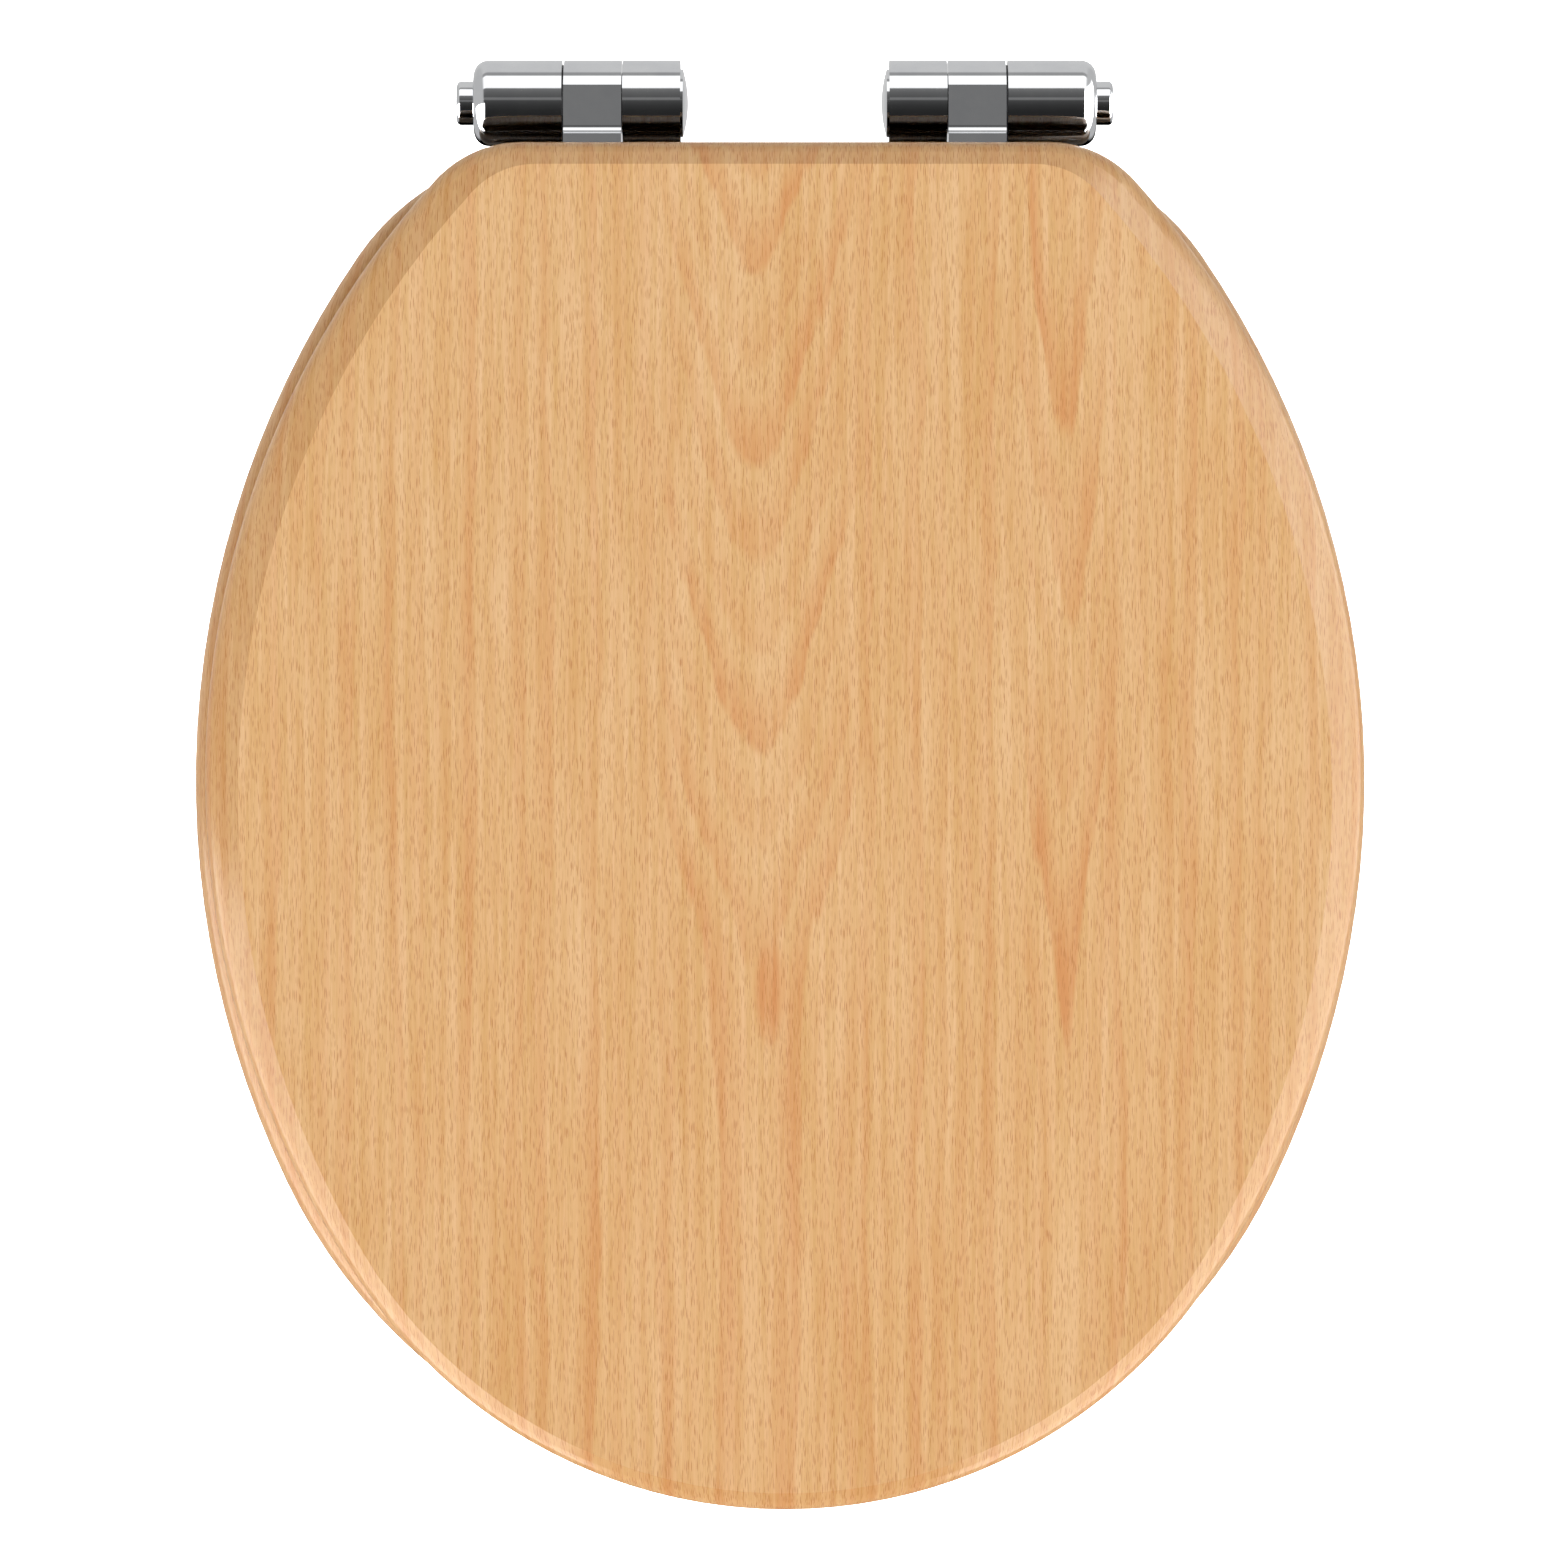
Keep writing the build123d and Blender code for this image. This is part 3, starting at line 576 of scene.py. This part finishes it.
on_left = glow.math("MULTIPLY", glow.fade(right, *LEFT_PANEL_EDGE), glow.fade(rear, *LEFT_PANEL_REAR))
right_panel = glow.math("MULTIPLY", on_right, RIGHT_PANEL_TONE)
left_panel = glow.math("MULTIPLY", on_left, LEFT_PANEL_TONE)
panels = glow.math("MULTIPLY", glow.math("MAXIMUM", right_panel, left_panel), glow.remap(up, *PANEL_FOOT))
tent_tone = glow.math("MAXIMUM", panels, shade)
straight = glow.math("LESS_THAN", glow.add("LightPath").outputs["Diffuse Depth"], NO_BOUNCE)
glow.shine(glow.math("MULTIPLY", tent_tone, straight))
tent.data.materials.append(glow.owner)
hide_from(tent, "camera", "diffuse", "transmission", "volume_scatter", "shadow")

# Light: a dim surround that looks white behind the object, one soft light above and two in front
WORLD_STRENGTH = 0.06
BACKDROP_STRENGTH = 1.05

surround = Graph(bpy.data.worlds.new("world"), "Background")
path = surround.add("LightPath").outputs
fill = surround.math("MULTIPLY", surround.math("LESS_THAN", path["Glossy Depth"], NO_BOUNCE), WORLD_STRENGTH)
seen_or_lit = surround.add(
    "MapRange", {"Value": path["Is Camera Ray"], "To Min": fill, "To Max": BACKDROP_STRENGTH}
)
surround.set(Color=grey(1.0), Strength=seen_or_lit.outputs[0])
scene.world = surround.owner

LIGHTS = {
    "top_light": dict(place=(0.0, -7.5, 18.5), side=15.0, power=3480.0),
    "right_light": dict(place=(2.7, -1.1, 3.2), side=2.0, power=25.0),
    "left_light": dict(place=(-2.4, -2.9, 2.4), side=2.0, power=28.0),
}
aim = (lid_low + lid_high) / 2
for name, setting in LIGHTS.items():
    lamp = bpy.data.lights.new(name, "AREA")
    lamp.shape = "SQUARE"
    lamp.size = setting["side"]
    lamp.energy = setting["power"]
    light = bpy.data.objects.new(name, lamp)
    light.location = setting["place"]
    light.rotation_euler = (aim - light.location).to_track_quat("-Z", "Y").to_euler()
    hide_from(light, "camera", "glossy")
    scene.collection.objects.link(light)

# Plain colour, so that a pure white surface shows as white
scene.view_settings.view_transform = "Standard"
scene.cycles.use_denoising = True
